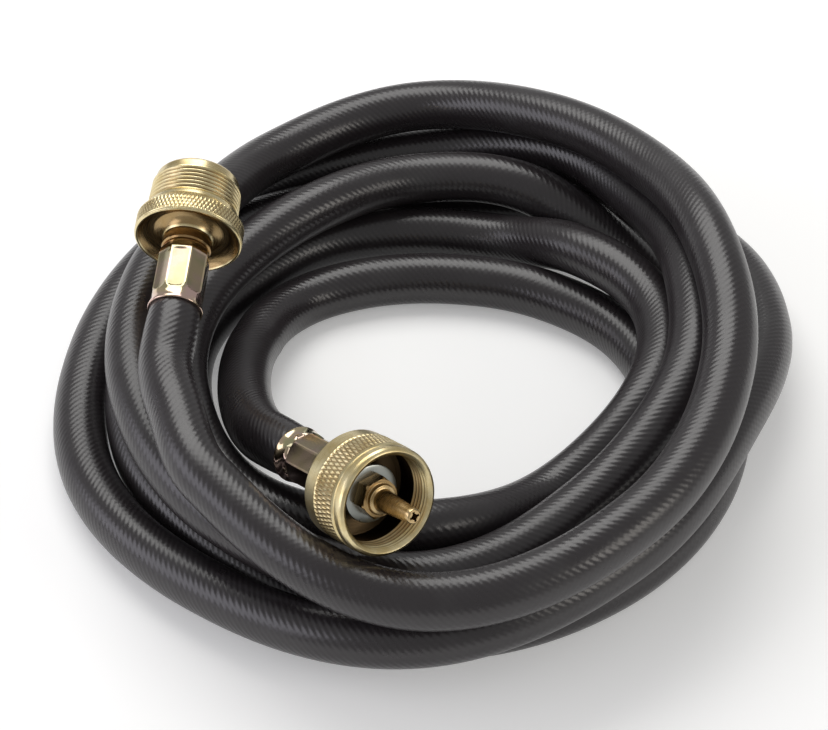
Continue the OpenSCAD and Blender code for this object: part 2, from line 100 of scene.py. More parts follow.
class HoseSettings(bpy.types.PropertyGroup):
    diameter: length("Diameter", 0.0148, "Outside diameter of the hose")
    bore: length("Bore", 0.008, "Bore of the hose")
    crimped: length("Crimped diameter", 0.0122, "Diameter of the hose inside its ferrules")
    mouth: length("Mouth diameter", 0.0136, "Diameter of the hose where it enters its ferrules")
    inside: length("Length in ferrule", 0.0177, "How far the hose reaches into each ferrule")
    ring_step: length("Ring step", 0.0028, "Distance between the rings of the tube")
    sides: IntProperty(name="Sides", default=32, min=12, max=64, description="Sides of the tube")
    bore_sides: IntProperty(name="Bore sides", default=12, min=8, max=64, description="Sides of the bore")
    rib_pitch: length("Rib pitch", 0.0019, "Distance between two braid ribs along the hose")
    rib_count: IntProperty(name="Ribs round", default=20, min=8, max=48,
                           description="Braid ribs round the hose, each way")
    rib_depth: length("Rib depth", 0.000024, "Depth of the braid that shows through the cover")
    rubber: colour("Rubber", (0.021, 0.0175, 0.019), "Colour of the cover")
    worn: colour("Worn rubber", (0.029, 0.0265, 0.0275), "Colour of the cover where it is scuffed")


class FerruleSettings(bpy.types.PropertyGroup):
    length: length("Length", 0.0202, "Length of a ferrule")
    radius: length("Radius", 0.007, "Outside radius of a ferrule")
    flare: length("Flare radius", 0.0075, "Outside radius of the flared mouth")
    crimps: IntProperty(name="Crimps", default=8, min=6, max=10, description="Crimp flats round a ferrule")
    flat: length("Flat distance", 0.0066, "Distance from the axis to a crimp flat")
    crimp_start: length("Crimp start", 0.0038, "Distance from the mouth to the flats")
    crimp_end: length("Crimp end", 0.0164, "Distance from the mouth to the far end of the flats")
    gold: colour("Gold", (0.62, 0.5, 0.32), "Main colour of the plating")
    pink: colour("Pink", (0.66, 0.46, 0.43), "Pink cast of the plating")
    green: colour("Green", (0.4, 0.42, 0.22), "Green cast of the plating")
    # Painted shade: the pressed flats take this darker colour, standing in for the dark surroundings they reflect.
    pressed_flat_shade: colour("Shaded", (0.17, 0.14, 0.085), "Colour of the plating in the pressed flats")


class BrassSettings(bpy.types.PropertyGroup):
    pale: colour("Pale brass", (0.8, 0.7, 0.43), "Brass where it is bright")
    deep: colour("Deep brass", (0.64, 0.51, 0.25), "Brass where it is duller")
    # Painted shade and tarnish: darker brass for knurl valleys, thread roots and the hollows of the fittings.
    tarnish_and_shade: colour("Valley", (0.3, 0.19, 0.08), "Brass in the bottom of knurls and threads")
    probe: colour("Probe", (0.58, 0.43, 0.23), "Brass of the probe")
    stem: colour("Stem", (0.46, 0.31, 0.15), "Brass of the stems")
    probe_deep: colour("Deep probe", (0.42, 0.3, 0.14), "Brass of the probe where it is duller")
    stem_deep: colour("Deep stem", (0.34, 0.21, 0.09), "Brass of the stems where it is duller")
    zinc: colour("Zinc", (0.4, 0.415, 0.39), "Grey plating of the washer where it is bright")
    zinc_deep: colour("Deep zinc", (0.27, 0.285, 0.265), "Grey plating of the washer where it is duller")
    knurl_depth: length("Knurl depth", 0.0003, "Depth of the diamond knurls")
    flange_teeth: IntProperty(name="Flange teeth", default=82, min=40, max=120,
                              description="Diamonds round the flange's knurl")
    flange_pitch: length("Flange knurl pitch", 0.0022, "Length of a diamond of the flange's knurl")
    nut_teeth: IntProperty(name="Nut teeth", default=76, min=40, max=120,
                           description="Diamonds round the nut's knurl")
    nut_pitch: length("Nut knurl pitch", 0.0041, "Length of a diamond of the nut's knurl")
    thread_pitch: length("Thread pitch", 0.00127, "Pitch of both threads")
    thread_depth: length("Thread depth", 0.00065, "Depth of both threads")


class StageSettings(bpy.types.PropertyGroup):
    elevation: FloatProperty(name="Elevation", default=math.radians(43), subtype="ANGLE",
                             description="Camera's height above the horizon")
    distance: length("Distance", 0.8, "Camera's distance from the coil's axis on the floor")
    focal: FloatProperty(name="Focal length", default=121.13, min=20, max=300,
                         description="Camera's focal length in millimetres")
    floor: colour("Floor", (0.86, 0.86, 0.855), "Colour of the floor")
    floor_glow: FloatProperty(name="Floor glow", default=0.24, min=0, max=1,
                              description="Light that the floor adds so that it looks white")
    top_light: FloatProperty(name="Top light", default=5.0, min=0, unit="POWER",
                             description="Power of the soft light overhead")
    side_light: FloatProperty(name="Side light", default=3.4, min=0, unit="POWER",
                              description="Power of the soft light at the left")
    fill_light: FloatProperty(name="Fill light", default=1.8, min=0, unit="POWER",
                              description="Power of the soft light at the right")
    sky: FloatProperty(name="Sky", default=0.42, min=0, max=2, description="Brightness of the room")


# ---- the hose's centreline ----
def way_of(aim):
    heading, rise = (math.radians(angle) for angle in aim)
    return Vector((math.cos(rise) * math.cos(heading), math.cos(rise) * math.sin(heading), math.sin(rise)))


def place_of(mouth, aim):
    """Matrix that takes a fitting drawn along +Z to its place."""
    heading, rise = (math.radians(angle) for angle in aim)
    return (Matrix.Translation(mouth + COIL_CENTRE) @ Matrix.Rotation(heading, 4, "Z")
            @ Matrix.Rotation(math.pi / 2 - rise, 4, "Y"))


def station(i):
    last = len(STATIONS) - 1
    if i < 0:
        return 2 * STATIONS[0] - STATIONS[1]
    if i > last:
        return 2 * STATIONS[last] - STATIONS[last - 1]
    return STATIONS[i]


def lap_point(turn):
    """Point of the coil, so many degrees after its start."""
    place = min(turn / STATION_ANGLE, len(STATIONS) - 1)
    i = min(int(place), len(STATIONS) - 2)
    a, b, c, d, t = station(i - 1), station(i), station(i + 1), station(i + 2), place - i
    radius, height = 0.5 * (2 * b + (c - a) * t + (2 * a - 5 * b + 4 * c - d) * t ** 2
                            + (3 * b - a - 3 * c + d) * t ** 3)
    angle = math.radians(FIRST_ANGLE + turn)
    return Vector((radius * math.cos(angle), radius * math.sin(angle), height))


def curve(p, p_way, q, q_way, t):
    return ((2 * t ** 3 - 3 * t ** 2 + 1) * p + (t ** 3 - 2 * t ** 2 + t) * p_way
            + (3 * t ** 2 - 2 * t ** 3) * q + (t ** 3 - t ** 2) * q_way)


def curve_points(p, p_way, q, q_way, step):
    count = max(2, round((q - p).length * 1.1 / step))
    return [curve(p, p_way, q, q_way, i / count) for i in range(1, count)]


def hose_route(hose):
    """Points of the centreline and the hose's radius at each, from the outlet to the inlet."""
    coil_turn = (len(STATIONS) - 1) * STATION_ANGLE
    outlet_way, inlet_way = way_of(OUTLET_AIM), way_of(INLET_AIM)
    outlet_straight = OUTLET_MOUTH - outlet_way * hose.diameter
    inlet_straight = INLET_MOUTH - inlet_way * hose.diameter
    start, end = lap_point(0), lap_point(coil_turn)
    start_way = (lap_point(WAY_ANGLE) - start).normalized()
    end_way = (end - lap_point(coil_turn - WAY_ANGLE)).normalized()
    lead_way = (start - outlet_straight).normalized()
    lead_in, lead_out = (LEAD_POINT - outlet_straight).length, (start - LEAD_POINT).length
    inlet_lead = (inlet_straight - end).length
    full, crimped, mouth = hose.diameter / 2, hose.crimped / 2, hose.mouth / 2
    squeezed = 2.4 * MM  # How far past the mouth the crimp has its full grip

    points = [(OUTLET_MOUTH + outlet_way * hose.inside, crimped), (OUTLET_MOUTH + outlet_way * squeezed, crimped)]
    straight = [OUTLET_MOUTH - outlet_way * hose.diameter * k / 4 for k in range(5)]
    straight += curve_points(outlet_straight, -outlet_way * OUTLET_PULL * lead_in,
                             LEAD_POINT, lead_way * lead_in, hose.ring_step)
    straight += [LEAD_POINT]
    straight += curve_points(LEAD_POINT, lead_way * lead_out, start, start_way * lead_out, hose.ring_step)
    turn = 0.0
    while turn < coil_turn:
        here = lap_point(turn)
        straight.append(here)
        turn += math.degrees(hose.ring_step / Vector(here[:2]).length)
    straight.append(end)
    straight += curve_points(end, end_way * INLET_LAP_PULL * inlet_lead,
                             inlet_straight, inlet_way * INLET_PULL * inlet_lead, hose.ring_step)
    straight += [INLET_MOUTH - inlet_way * hose.diameter * k / 4 for k in range(4, -1, -1)]
    # The hose swells to its full size as it leaves a ferrule
    swelling = [mouth, mouth + (full - mouth) * 0.6, mouth + (full - mouth) * 0.9]
    radii = swelling + [full] * (len(straight) - 2 * len(swelling)) + swelling[::-1]
    points += zip(straight, radii)
    points += [(INLET_MOUTH + inlet_way * squeezed, crimped), (INLET_MOUTH + inlet_way * hose.inside, crimped)]
    return [(point + COIL_CENTRE, radius) for point, radius in points]


# ---- mesh tools ----
def ring_matrices(route):
    """One matrix for each ring: across, up and along the hose, at its centre."""
    matrices = []
    for i, (point, _) in enumerate(route):
        before, after = route[max(i - 1, 0)][0], route[min(i + 1, len(route) - 1)][0]
        way = (after - before).normalized()
        side = way.cross(Vector((0, 0, 1))).normalized()
        matrices.append(Matrix.Translation(point) @ Matrix((side, side.cross(way), way)).transposed().to_4x4())
    return matrices


def sweep(bm, matrices, radii, sides):
    """A tube made of a grid that is rolled up round the rings. Returns its two end loops."""
    along = bm.verts.layers.float["along"]
    around = bm.verts.layers.float["around"]
    travelled = [0.0]
    for before, after in zip(matrices, matrices[1:]):
        travelled.append(travelled[-1] + (after.translation - before.translation).length)
    last = len(matrices) - 1
    grid = bmesh.ops.create_grid(bm, x_segments=sides, y_segments=last, size=0.5)["verts"]
    for vert in grid:
        ring, turn = round((vert.co.y + 0.5) * last), vert.co.x + 0.5
        vert[along], vert[around] = travelled[ring], turn
        angle = turn * FULL_TURN
        vert.co = matrices[ring] @ (radii[ring] * Vector((math.cos(angle), math.sin(angle), 0)))
    bmesh.ops.remove_doubles(bm, verts=grid, dist=0.01 * MM)
    rims = [edge for edge in bm.edges if edge.is_boundary]
    ends = [[], []]
    for edge in rims:
        if abs((edge.verts[0].co - matrices[0].translation).length - radii[0]) < 0.1 * MM:
            ends[0].append(edge)
        elif abs((edge.verts[0].co - matrices[last].translation).length - radii[last]) < 0.1 * MM:
            ends[1].append(edge)
    return ends


def set_uv(bm):
    """UV map from the vertex layers: once round a piece is 1, and along it is in metres."""
    along = bm.verts.layers.float["along"]
    around = bm.verts.layers.float["around"]
    uv = bm.loops.layers.uv.new("UVMap")
    for face in bm.faces:
        turns = [loop.vert[around] % 1 for loop in face.loops]
        seam = max(turns) - min(turns) > 0.5
        for loop, turn in zip(face.loops, turns):
            loop[uv].uv = (turn + 1 if seam and turn < 0.5 else turn, loop.vert[along])


def turned(bm, outline, segments, rounding):
    """A closed outline of (distance along the axis, radius) in millimetres, its corners rounded, spun round +Z."""
    along = bm.verts.layers.float["along"]
    verts = [bm.verts.new((r * MM, 0, a * MM)) for a, r in outline]
    for i, vert in enumerate(verts):
        bm.edges.new((vert, verts[(i + 1) % len(verts)]))
    corners = []
    for i, vert in enumerate(verts):
        before = (vert.co - verts[i - 1].co).normalized()
        after = (verts[(i + 1) % len(verts)].co - vert.co).normalized()
        if before.dot(after) < math.cos(math.radians(20)):
            corners.append(vert)
    bmesh.ops.bevel(bm, geom=corners, offset=rounding * MM, offset_type="OFFSET", segments=2, profile=0.5,
                    affect="VERTICES", material=-1, clamp_overlap=True)
    # Distance along the outline, walked from vertex to vertex
    bm.verts.ensure_lookup_table()
    here, edge, walked = bm.verts[0], bm.verts[0].link_edges[0], 0.0
    for _ in range(len(bm.verts)):
        here[along] = walked
        there = edge.other_vert(here)
        walked += (there.co - here.co).length
        edge = next(item for item in there.link_edges if item != edge)
        here = there
    # A quarter is spun and then copied round, which is much faster than a full spin
    bmesh.ops.spin(bm, geom=bm.verts[:] + bm.edges[:], cent=(0, 0, 0), axis=(0, 0, 1), dvec=(0, 0, 0),
                   angle=FULL_TURN / 4, steps=segments // 4, use_merge=False, use_normal_flip=False,
                   use_duplicate=False)
    bmesh.ops.spin(bm, geom=bm.verts[:] + bm.edges[:] + bm.faces[:], cent=(0, 0, 0), axis=(0, 0, 1),
                   dvec=(0, 0, 0), angle=FULL_TURN * 3 / 4, steps=3, use_merge=False, use_normal_flip=False,
                   use_duplicate=True)
    bmesh.ops.remove_doubles(bm, verts=bm.verts[:], dist=0.001 * MM)


def knurl(bm, start, end, radius, teeth, pitch, depth, flat_top):
    """Presses a diamond knurl into the outside between two distances along the axis."""
    clean_and_lit = bm.verts.layers.float["clean_and_lit"]
    for vert in bm.verts:
        r = radius_of(vert)
        if r < radius - 0.2 * MM or not start < vert.co.z < end:
            continue
        turns = math.atan2(vert.co.y, vert.co.x) / FULL_TURN * teeth
        steps = (vert.co.z - start) / pitch
        off_crown = max(abs((turns + steps) % 1 - 0.5), abs((turns - steps) % 1 - 0.5)) * 2
        height = min(1, (1 - off_crown) * flat_top)
        fade = min(1, (vert.co.z - start) / (0.12 * pitch), (end - vert.co.z) / (0.12 * pitch))
        vert[clean_and_lit] = 1 - 0.85 * fade * (1 - height)
        press(vert, (radius - depth * fade * (1 - height)) / r)


def radius_of(vert):
    return Vector(vert.co[:2]).length


def press(vert, scale):
    """Moves a vertex towards the fitting's axis, or away from it."""
    vert.co.x *= scale
    vert.co.y *= scale


def new_bmesh():
    bm = bmesh.new()
    for layer in ("along", "around", "clean_and_lit"):
        bm.verts.layers.float.new(layer)
    return bm


def lathe(outline, segments, rounding):
    """A turned piece, with the turn of each vertex filled in and its mask at full, so no painted shade and no tarnish
    yet.
    """
    bm = new_bmesh()
    turned(bm, outline, segments, rounding)
    around = bm.verts.layers.float["around"]
    clean_and_lit = bm.verts.layers.float["clean_and_lit"]
    for vert in bm.verts:
        vert[around] = math.atan2(vert.co.y, vert.co.x) / FULL_TURN
        vert[clean_and_lit] = 1
    return bm


def finish_piece(name, bm, place, material, body, replaced, sharp=35):
    """Makes the bmesh an object in its place, smooth but for its sharp edges, that rides on a body."""
    set_uv(bm)
    bmesh.ops.recalc_face_normals(bm, faces=bm.faces[:])
    bmesh.ops.transform(bm, matrix=place, verts=bm.verts[:])
    mesh = bpy.data.meshes.new(name)
    bm.to_mesh(mesh)
    bm.free()
    mesh.polygons.foreach_set("use_smooth", [True] * len(mesh.polygons))
    mesh.set_sharp_from_angle(angle=math.radians(sharp))
    mesh.materials.append(material)
    piece = bpy.data.objects.new(name, mesh)
    bpy.context.scene.collection.objects.link(piece)
    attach(piece, body)
    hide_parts(replaced)
    return piece


def cut_away(piece, cutter, place):
    """Takes the cutter's shape out of a piece."""
    bmesh.ops.transform(cutter, matrix=place, verts=cutter.verts[:])
    mesh = bpy.data.meshes.new("cutter")
    cutter.to_mesh(mesh)
    cutter.free()
    tool = bpy.data.objects.new("cutter", mesh)
    bpy.context.scene.collection.objects.link(tool)
    cut = piece.modifiers.new("slots", "BOOLEAN")
    cut.operation, cut.solver, cut.use_self, cut.object = "DIFFERENCE", "EXACT", True, tool
    seen = piece.evaluated_get(bpy.context.evaluated_depsgraph_get())
    piece.data = bpy.data.meshes.new_from_object(seen)
    piece.modifiers.remove(cut)
    bpy.data.objects.remove(tool)
    bpy.data.meshes.remove(mesh)


# ---- shader tools ----
def node(tree, kind, inputs=None, **settings):
    """Adds a shader node. An input given as another node's output is linked, any other is set."""
    made = tree.nodes.new(kind)
    for name, value in settings.items():
        setattr(made, name, value)
    for name, value in (inputs or {}).items():
        if isinstance(value, bpy.types.NodeSocket):
            tree.links.new(value, made.inputs[name])
        else:
            made.inputs[name].default_value = value
    return made


def sums(tree, operation, a, b=0.0):
    return node(tree, "ShaderNodeMath", {0: a, 1: b}, operation=operation).outputs[0]


def mixed(tree, factor, a, b):
    made = node(tree, "ShaderNodeMix", {"Factor": factor}, data_type="RGBA")
    for index, value in ((6, a), (7, b)):
        if isinstance(value, bpy.types.NodeSocket):
            tree.links.new(value, made.inputs[index])
        else:
            made.inputs[index].default_value = (*value, 1)
    return made.outputs[2]


def ranged(tree, value, low, high, to_low, to_high):
    return node(tree, "ShaderNodeMapRange", {"Value": value, "From Min": low, "From Max": high,
                                             "To Min": to_low, "To Max": to_high}).outputs["Result"]


def noise(tree, scale, detail, vector, roughness=0.5):
    return node(tree, "ShaderNodeTexNoise", {"Vector": vector, "Scale": scale, "Detail": detail,
                                             "Roughness": roughness}).outputs["Fac"]


def new_material(name, **sockets):
    material = bpy.data.materials.new(name)
    material.use_nodes = True
    shader = material.node_tree.nodes["Principled BSDF"]
    for socket, value in sockets.items():
        shader.inputs[socket.replace("_", " ")].default_value = value
    return material, material.node_tree, shader


def new_group(name, inputs, outputs):
    """An empty shader node group with the named float or colour sockets."""
    group = bpy.data.node_groups.new(name, "ShaderNodeTree")
    for direction, sockets in (("INPUT", inputs), ("OUTPUT", outputs)):
        for socket, kind in sockets.items():
            group.interface.new_socket(socket, in_out=direction, socket_type=kind)
    return group, group.nodes.new("NodeGroupInput"), group.nodes.new("NodeGroupOutput")


FLOAT, COLOUR = "NodeSocketFloat", "NodeSocketColor"
# Painted shade: nearly black colour for the hollows that light hardly reaches, inside the nut.
HOLLOW_SHADE = (0.035, 0.028, 0.02)  # Colour in the deepest hollows of the brass


def turning_marks():
    """Shared by all machined metal: fine rings left by the lathe, uneven tint and dull patches."""
    if "turning marks" in bpy.data.node_groups:
        return bpy.data.node_groups["turning marks"]
    group, given, out = new_group(
        "turning marks", {"Pale": COLOUR, "Deep": COLOUR, "Roughness": FLOAT},
        {"Color": COLOUR, "Roughness": FLOAT, "Height": FLOAT})
    uv = node(group, "ShaderNodeUVMap", uv_map="UVMap").outputs["UV"]
    place = node(group, "ShaderNodeTexCoord").outputs["Object"]
    rings = node(group, "ShaderNodeMapping", {"Vector": uv, "Scale": (1.5, 5200, 1)}).outputs["Vector"]
    lines = noise(group, 1, 3, rings, 0.65)
    patches = noise(group, 220, 4, place, 0.6)
    tint = ranged(group, patches, 0.35, 0.65, 0, 1)
    colour_mix = node(group, "ShaderNodeMix", {"Factor": tint}, data_type="RGBA")
    group.links.new(given.outputs["Pale"], colour_mix.inputs[6])
    group.links.new(given.outputs["Deep"], colour_mix.inputs[7])
    group.links.new(colour_mix.outputs[2], out.inputs["Color"])
    uneven = ranged(group, lines, 0.3, 0.7, -0.05, 0.07)
    group.links.new(sums(group, "ADD", given.outputs["Roughness"], uneven), out.inputs["Roughness"])
    group.links.new(lines, out.inputs["Height"])
    return group


def machined_brass(name, pale, deep, tarnish_and_shade, roughness, uses_clean_and_lit=True):
    """Brass from the lathe: turning marks, with tarnish and painted shade where the mask attribute is low."""
    material, tree, shader = new_material(name, Metallic=1)
    marks = node(tree, "ShaderNodeGroup", node_tree=turning_marks())
    marks.inputs["Pale"].default_value = (*pale, 1)
    marks.inputs["Deep"].default_value = (*deep, 1)
    marks.inputs["Roughness"].default_value = roughness
    shown = marks.outputs["Color"]
    if uses_clean_and_lit:
        # Painted shade and tarnish: the brass turns darker brown where the mask is low, and nearly black where it is
        # near zero.
        clean_and_lit = node(tree, "ShaderNodeAttribute", attribute_name="clean_and_lit").outputs["Fac"]
        shown = mixed(tree, ranged(tree, clean_and_lit, 0.15, 0.75, 0, 1), tarnish_and_shade, shown)
        shown = mixed(tree, ranged(tree, clean_and_lit, 0, 0.1, 0, 1), HOLLOW_SHADE, shown)
    tree.links.new(shown, shader.inputs["Base Color"])
    tree.links.new(marks.outputs["Roughness"], shader.inputs["Roughness"])
    bump = node(tree, "ShaderNodeBump", {"Strength": 0.5, "Distance": 0.00001, "Height": marks.outputs["Height"]})
    tree.links.new(bump.outputs["Normal"], shader.inputs["Normal"])
    return material


def hose_rubber(hose):
    """Satin rubber cover, with the braid under it showing as slanted ribs and, fainter, crossing ones."""
    material, tree, shader = new_material("hose_rubber", Specular_IOR_Level=0.6)
    uv = node(tree, "ShaderNodeUVMap", uv_map="UVMap").outputs["UV"]
    place = node(tree, "ShaderNodeTexCoord").outputs["Object"]
    parts = node(tree, "ShaderNodeSeparateXYZ", {"Vector": uv})
    wobble = noise(tree, 60, 2, place)
    turns = sums(tree, "MULTIPLY", parts.outputs["X"], hose.rib_count)
    steps = sums(tree, "DIVIDE", parts.outputs["Y"], hose.rib_pitch)
    turns = sums(tree, "ADD", turns, sums(tree, "MULTIPLY", wobble, 0.8))
    heights = []
    for direction, share in (("ADD", 0.8), ("SUBTRACT", 0.2)):
        phase = sums(tree, "MULTIPLY", sums(tree, direction, turns, steps), FULL_TURN)
        heights.append(sums(tree, "MULTIPLY", sums(tree, "SINE", phase), share))
    braid = sums(tree, "ADD", *heights)
    grain = noise(tree, 4000, 2, place)
    height = sums(tree, "ADD", braid, sums(tree, "MULTIPLY", grain, 0.2))
    bump = node(tree, "ShaderNodeBump", {"Strength": 1, "Distance": hose.rib_depth, "Height": height})
    tree.links.new(bump.outputs["Normal"], shader.inputs["Normal"])
    scuffs = noise(tree, 55, 5, place, 0.65)
    scuffed = ranged(tree, scuffs, 0.5, 0.72, 0, 1)
    tree.links.new(mixed(tree, scuffed, hose.rubber, hose.worn), shader.inputs["Base Color"])
    tree.links.new(ranged(tree, scuffs, 0.3, 0.7, 0.25, 0.34), shader.inputs["Roughness"])
    return material


def yellow_zinc(ferrule):
    """Bright yellow zinc plating with its pink and green cast, and painted shade in the pressed flats."""
    material, tree, shader = new_material("yellow_zinc", Metallic=1)
    place = node(tree, "ShaderNodeTexCoord").outputs["Object"]
    cast = noise(tree, 130, 2, place)
    pinked = mixed(tree, ranged(tree, cast, 0.42, 0.6, 0, 0.85), ferrule.gold, ferrule.pink)
    other = noise(tree, 170, 2, node(tree, "ShaderNodeMapping", {"Vector": place, "Location": (3, 1, 2)}).outputs[0])
    plated = mixed(tree, ranged(tree, other, 0.5, 0.68, 0, 0.7), pinked, ferrule.green)
    clean_and_lit = node(tree, "ShaderNodeAttribute", attribute_name="clean_and_lit").outputs["Fac"]
    # Painted shade: where the mask is low, in the pressed flats, the plating turns to the darker flat colour.
    tree.links.new(mixed(tree, clean_and_lit, ferrule.pressed_flat_shade, plated), shader.inputs["Base Color"])
    scratches = noise(tree, 1500, 3, place, 0.6)
    tree.links.new(ranged(tree, scratches, 0.3, 0.7, 0.09, 0.16), shader.inputs["Roughness"])
    bump = node(tree, "ShaderNodeBump", {"Strength": 0.35, "Distance": 0.00002, "Height": scratches})
    tree.links.new(bump.outputs["Normal"], shader.inputs["Normal"])
    return material


def grey_zinc(brass):
    """Satin grey plating, a little cloudy."""
    material, tree, shader = new_material("grey_zinc", Metallic=1)
    place = node(tree, "ShaderNodeTexCoord").outputs["Object"]
    cloud = noise(tree, 400, 4, place, 0.6)
    tree.links.new(mixed(tree, cloud, brass.zinc_deep, brass.zinc), shader.inputs["Base Color"])
    tree.links.new(ranged(tree, cloud, 0.3, 0.7, 0.26, 0.4), shader.inputs["Roughness"])
    return material


def seal_rubber():
    material, tree, shader = new_material("seal_rubber")
    place = node(tree, "ShaderNodeTexCoord").outputs["Object"]
    dust = noise(tree, 900, 3, place)
    tree.links.new(mixed(tree, dust, (0.012, 0.012, 0.012), (0.03, 0.03, 0.03)), shader.inputs["Base Color"])
    tree.links.new(ranged(tree, dust, 0.3, 0.7, 0.55, 0.7), shader.inputs["Roughness"])
    return material


# ---- stage ----
def soft_light(name, power, size, place, aim, tint):
    lamp = bpy.data.lights.new(name, "AREA")
    lamp.color = tint
    lamp.energy, lamp.shape, lamp.size, lamp.size_y = power, "RECTANGLE", *size
    light = bpy.data.objects.new(name, lamp)
    light.location = place
    light.rotation_euler = (Vector(aim) - Vector(place)).to_track_quat("-Z", "Y").to_euler()
    bpy.context.scene.collection.objects.link(light)


class HOSE_OT_stage(bpy.types.Operator):
    """Make the camera, the pale floor and the soft lights"""
    bl_idname = "propane_hose.stage"
    bl_label = "Stage"

    def execute(self, context):
        stage = context.scene.hose_stage
        lens = bpy.data.cameras.new("camera")
        lens.lens, lens.sensor_width, lens.sensor_fit = stage.focal, 36, "HORIZONTAL"
        camera = bpy.data.objects.new("camera", lens)
        camera.location = COIL_CENTRE + stage.distance * Vector(
            (0, -math.cos(stage.elevation), math.sin(stage.elevation)))
        camera.rotation_euler = (math.pi / 2 - stage.elevation, 0, 0)
        context.scene.collection.objects.link(camera)
        context.scene.camera = camera

        bm = bmesh.new()
        bmesh.ops.create_grid(bm, x_segments=1, y_segments=1, size=3)
        mesh = bpy.data.meshes.new("floor")
        bm.to_mesh(mesh)
        bm.free()
        floor = bpy.data.objects.new("floor", mesh)
        context.scene.collection.objects.link(floor)
        material, tree, shader = new_material("floor", Roughness=0.7)
        shader.inputs["Base Color"].default_value = (*stage.floor, 1)
        path = node(tree, "ShaderNodeLightPath").outputs
        seen = sums(tree, "ADD", path["Is Camera Ray"], path["Is Glossy Ray"])
        seen = sums(tree, "ADD", seen, path["Is Transmission Ray"])
        shader.inputs["Emission Color"].default_value = (1, 1, 1, 1)
        tree.links.new(sums(tree, "MULTIPLY", seen, stage.floor_glow), shader.inputs["Emission Strength"])
        floor.data.materials.append(material)

        world = bpy.data.worlds.new("room")
        context.scene.world = world
        world.use_nodes = True
        room = world.node_tree.nodes["Background"]
        room.inputs["Color"].default_value = (1, 1, 1, 1)
        room.inputs["Strength"].default_value = stage.sky

        soft_light("top_light", stage.top_light, (0.8, 0.6), (-0.14, 0.5, 0.8), (0, 0, 0), (1, 0.99, 0.97))
        soft_light("left_light", stage.side_light, (1.1, 0.45), (-0.9, -0.24, 0.375), (0, 0, 0.02), (0.92, 0.9, 1))
        soft_light("right_light", stage.fill_light, (0.4, 0.4), (0.85, -0.45, 0.45), (0, 0, 0.02), (1, 0.95, 0.88))
        context.scene.view_settings.view_transform = "Standard"
        return {"FINISHED"}


# ---- hose ----
class HOSE_OT_hose(bpy.types.Operator):
    """Make the coiled hose"""
    bl_idname = "propane_hose.hose"
    bl_label = "Hose"

    def execute(self, context):
        hose = context.scene.hose_sizes
        route = hose_route(hose)
        matrices = ring_matrices(route)
        bm = new_bmesh()
        outer = sweep(bm, matrices, [radius for _, radius in route], hose.sides)
        inner = sweep(bm, matrices, [hose.bore / 2] * len(route), hose.bore_sides)
        for outer_end, inner_end in zip(outer, inner):
            bmesh.ops.bridge_loops(bm, edges=outer_end + inner_end)
        for vert in bm.verts:
            vert.co.z = max(vert.co.z, 0)
        piece = finish_piece("hose_cover", bm, Matrix.Identity(4), hose_rubber(hose), FIXED,
                             "hose", sharp=60)
        return {"FINISHED"}


# ---- fittings ----
def make_ferrule(name, place, ferrule, node_name, plating):
    start, end = ferrule.crimp_start, ferrule.crimp_end
    mouth_inside, inside, neck, end_wall = 6.85, 6.2, 4.4, 17.8
    r, flare, length = ferrule.radius / MM, ferrule.flare / MM, ferrule.length / MM
    outline = [(0, mouth_inside), (0, flare - 0.15), (0.15, flare), (0.5, flare), (0.9, flare - 0.1), (1.4, r + 0.24),
               (2.0, r + 0.1), (2.8, r + 0.02), (3.3, r)]
    rows, dome_rows = 40, 12
    outline += [(start / MM + (end - start) / MM * k / rows, r) for k in range(rows + 1)]
    # The domed shoulder is a quarter of an ellipse down to the face
    dome, face = length - end / MM, 5.6
    for k in range(1, dome_rows + 1):
        angle = math.pi / 2 * k / dome_rows
        outline.append((end / MM + dome * math.sin(angle), face + (r - face) * math.cos(angle) ** 0.8))
    outline += [(length, neck), (end_wall, neck), (end_wall, inside), (2.4, inside)]
    bm = lathe(outline, ferrule.crimps * 32, 0.1)
    sector = FULL_TURN / ferrule.crimps
    clean_and_lit = bm.verts.layers.float["clean_and_lit"]
    depth, hollow, ridge_top, arch = ferrule.radius - ferrule.flat, 0.16 * MM, 0.14 * MM, 1.1 * MM
    for vert in bm.verts:
        radius = radius_of(vert)
        is_inside = radius < (inside + 0.2) * MM and vert.co.z < (end_wall + 0.2) * MM
        if is_inside or vert.co.z < start - 0.5 * MM:
            continue
        turn = (math.atan2(vert.co.y, vert.co.x) + sector / 2) % sector - sector / 2
        off_middle = (2 * turn / sector) ** 2
        pressed = min(1, (vert.co.z - start - arch * off_middle) / (0.4 * MM),
                      (length * MM - vert.co.z) / (1.4 * MM))
        dip = hollow * (1 - off_middle) if vert.co.z < end else 0
        # Painted shade: the middle of each pressed flat is marked darker, standing in for the dark surroundings it
        # reflects.
        if 0 < pressed and vert.co.z < end and off_middle < 0.75:
            vert[clean_and_lit] = 1 - 0.6 * min(1, pressed)
        target = min((radius - depth - dip) / math.cos(turn), radius + ridge_top)
        press(vert, (radius + (target - radius) * max(0, pressed)) / radius)
    return finish_piece(name, bm, place, plating, FIXED, node_name)


class HOSE_OT_ferrules(bpy.types.Operator):
    """Make the two crimped ferrules"""
    bl_idname = "propane_hose.ferrules"
    bl_label = "Ferrules"

    def execute(self, context):
        ferrule = context.scene.hose_ferrules
        plating = yellow_zinc(ferrule)
        make_ferrule("ferrule_outlet", place_of(OUTLET_MOUTH, OUTLET_AIM), ferrule, "outlet_ferrule", plating)
        make_ferrule("ferrule_inlet", place_of(INLET_MOUTH, INLET_AIM), ferrule, "inlet_ferrule", plating)
        return {"FINISHED"}


